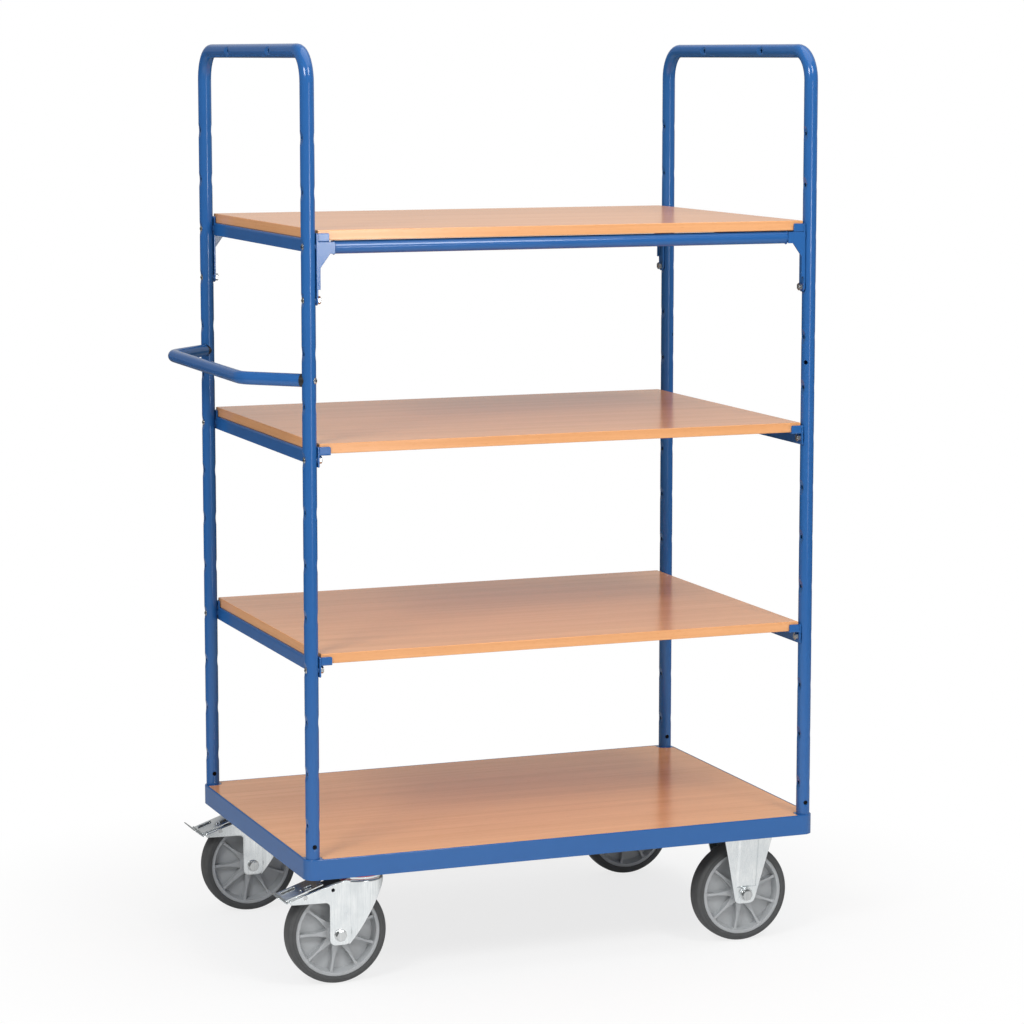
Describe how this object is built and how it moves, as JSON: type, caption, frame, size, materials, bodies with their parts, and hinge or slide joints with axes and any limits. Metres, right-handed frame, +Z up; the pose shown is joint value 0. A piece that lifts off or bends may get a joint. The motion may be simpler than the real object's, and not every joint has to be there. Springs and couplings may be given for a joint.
{
  "type": "shelf trolley",
  "caption": "Tall shelf trolley: drilled tube hoops on a framed wooden deck carry wooden shelves and a bent push handle, on braked swivel casters and fixed casters.",
  "frame": {"origin": "on the floor, under the middle of the trolley's overall box", "axes": "+Z up, +X along the trolley away from the push handle, +Y across it to the back"},
  "size_m": [1.1684, 0.724, 1.7999],
  "materials": {
    "blue_paint": "smooth glossy blue powder coat",
    "deck_wood": "satin laminate with a fine beech grain along the length",
    "shelf_wood": "satin laminate with a fine beech grain along the length",
    "zinc_steel": "bright zinc plate",
    "black_screws": "blackened steel",
    "bearing_steel": "ground bearing steel",
    "seal_red": "matt red seal",
    "black_plastic": "fine moulded grain",
    "brake_rubber": "matt black rubber",
    "tyre_rubber": "matt grey solid rubber",
    "rim_plastic": "satin grey moulded plastic"
  },
  "bodies": {
    "chassis": {"base_frame": "blue_paint", "deck_board": "deck_wood", "left_hoop": "blue_paint", "right_hoop": "blue_paint", "hoop_screws": "black_screws", "lower_shelf_board": "shelf_wood", "middle_shelf_board": "shelf_wood", "top_shelf_board": "shelf_wood", "lower_shelf_rail_left": "blue_paint", "lower_shelf_rail_right": "blue_paint", "middle_shelf_rail_left": "blue_paint", "middle_shelf_rail_right": "blue_paint", "top_shelf_frame": "blue_paint", "shelf_bolts": "zinc_steel", "shelf_nuts": "zinc_steel", "board_screws": "zinc_steel", "push_handle": "blue_paint", "handle_inserts": "black_plastic", "handle_spacers": "black_plastic", "handle_bolts": "zinc_steel", "caster_bolts": "zinc_steel", "caster_nuts": "zinc_steel", "fixed_axle_bolts": "zinc_steel", "fixed_axle_nuts": "zinc_steel", "fixed_axle_sleeves": "zinc_steel", "kingpins": "zinc_steel", "ball_rings": "bearing_steel", "swivel_seals": "seal_red", "fixed_bracket_front": "zinc_steel", "fixed_bracket_back": "zinc_steel", "swivel_plate_front": "zinc_steel", "swivel_plate_back": "zinc_steel"},
    "front_fork": {"fork_front": "zinc_steel", "fork_axle_bolt_front": "zinc_steel", "fork_axle_nut_front": "zinc_steel", "fork_axle_sleeve_front": "zinc_steel", "pedal_pin_front": "zinc_steel"},
    "front_pedal": {"brake_pedal_front": "zinc_steel", "brake_shoe_front": "brake_rubber"},
    "front_swivel_wheel": {"swivel_rim_front": "rim_plastic", "swivel_tyre_front": "tyre_rubber", "swivel_bearings_front": "bearing_steel"},
    "front_fixed_wheel": {"fixed_rim_front": "rim_plastic", "fixed_tyre_front": "tyre_rubber", "fixed_bearings_front": "bearing_steel"},
    "back_fork": {"fork_back": "zinc_steel", "fork_axle_bolt_back": "zinc_steel", "fork_axle_nut_back": "zinc_steel", "fork_axle_sleeve_back": "zinc_steel", "pedal_pin_back": "zinc_steel"},
    "back_pedal": {"brake_pedal_back": "zinc_steel", "brake_shoe_back": "brake_rubber"},
    "back_swivel_wheel": {"swivel_rim_back": "rim_plastic", "swivel_tyre_back": "tyre_rubber", "swivel_bearings_back": "bearing_steel"},
    "back_fixed_wheel": {"fixed_rim_back": "rim_plastic", "fixed_tyre_back": "tyre_rubber", "fixed_bearings_back": "bearing_steel"}
  },
  "joints": [
    {"name": "front_swivel", "type": "hinge", "parent": "chassis", "child": "front_fork", "pos_m": [-0.35975, -0.292, 0.209], "axis": [0, 0, 1], "continuous": true},
    {"name": "front_swivel_wheel_spin", "type": "hinge", "parent": "front_fork", "child": "front_swivel_wheel", "pos_m": [-0.40975, -0.292, 0.1], "axis": [0, 1, 0], "continuous": true},
    {"name": "front_brake_press", "type": "hinge", "parent": "front_fork", "child": "front_pedal", "pos_m": [-0.47975, -0.292, 0.18], "axis": [0, -1, 0], "range_deg": [0, 10]},
    {"name": "front_fixed_wheel_spin", "type": "hinge", "parent": "chassis", "child": "front_fixed_wheel", "pos_m": [0.44825, -0.292, 0.1], "axis": [0, 1, 0], "continuous": true},
    {"name": "back_swivel", "type": "hinge", "parent": "chassis", "child": "back_fork", "pos_m": [-0.35975, 0.292, 0.209], "axis": [0, 0, 1], "continuous": true},
    {"name": "back_swivel_wheel_spin", "type": "hinge", "parent": "back_fork", "child": "back_swivel_wheel", "pos_m": [-0.40975, 0.292, 0.1], "axis": [0, 1, 0], "continuous": true},
    {"name": "back_brake_press", "type": "hinge", "parent": "back_fork", "child": "back_pedal", "pos_m": [-0.47975, 0.292, 0.18], "axis": [0, -1, 0], "range_deg": [0, 10]},
    {"name": "back_fixed_wheel_spin", "type": "hinge", "parent": "chassis", "child": "back_fixed_wheel", "pos_m": [0.44825, 0.292, 0.1], "axis": [0, 1, 0], "continuous": true}
  ]
}
